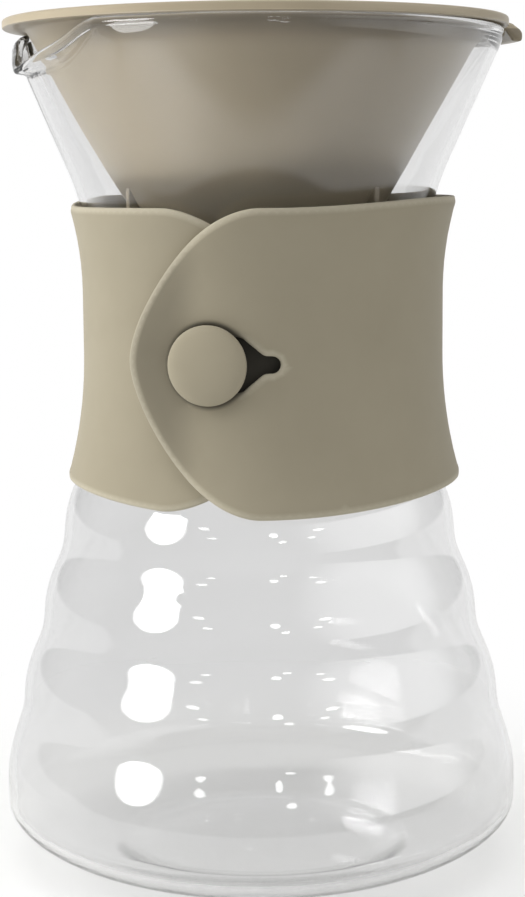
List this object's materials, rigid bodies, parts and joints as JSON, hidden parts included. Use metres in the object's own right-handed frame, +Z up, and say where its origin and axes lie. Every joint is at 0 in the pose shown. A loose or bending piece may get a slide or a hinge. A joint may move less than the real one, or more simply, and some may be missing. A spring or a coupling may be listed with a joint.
{
  "type": "pour-over coffee decanter",
  "caption": "Waisted glass pour-over decanter with moulded rings, a pouring lip, a lift-off cone dripper and a buttoned silicone sleeve round the neck.",
  "frame": {"origin": "centre of the foot ring, on the surface that the jug stands on", "axes": "+Z up along the axis of the jug, -Y toward the camera, +X to the right of the picture; the spout points to -X and a little to -Y"},
  "size_m": [0.1253, 0.1238, 0.2002],
  "materials": {
    "glass": "clear, fire polished",
    "dripper_plastic": "satin moulded",
    "silicone": "matte moulded"
  },
  "bodies": {
    "decanter": {"glass_decanter": "glass"},
    "dripper": {"cone_dripper": "dripper_plastic"},
    "sleeve": {"silicone_sleeve": "silicone", "sleeve_button": "silicone"}
  },
  "joints": [
    {"name": "dripper_lift", "type": "slide", "parent": "decanter", "child": "dripper", "axis": [0, 0, 1], "range_m": [0, 0.1]},
    {"name": "sleeve_turn", "type": "hinge", "parent": "decanter", "child": "sleeve", "pos_m": [0, 0, 0.124], "axis": [0, 0, 1], "continuous": true}
  ]
}
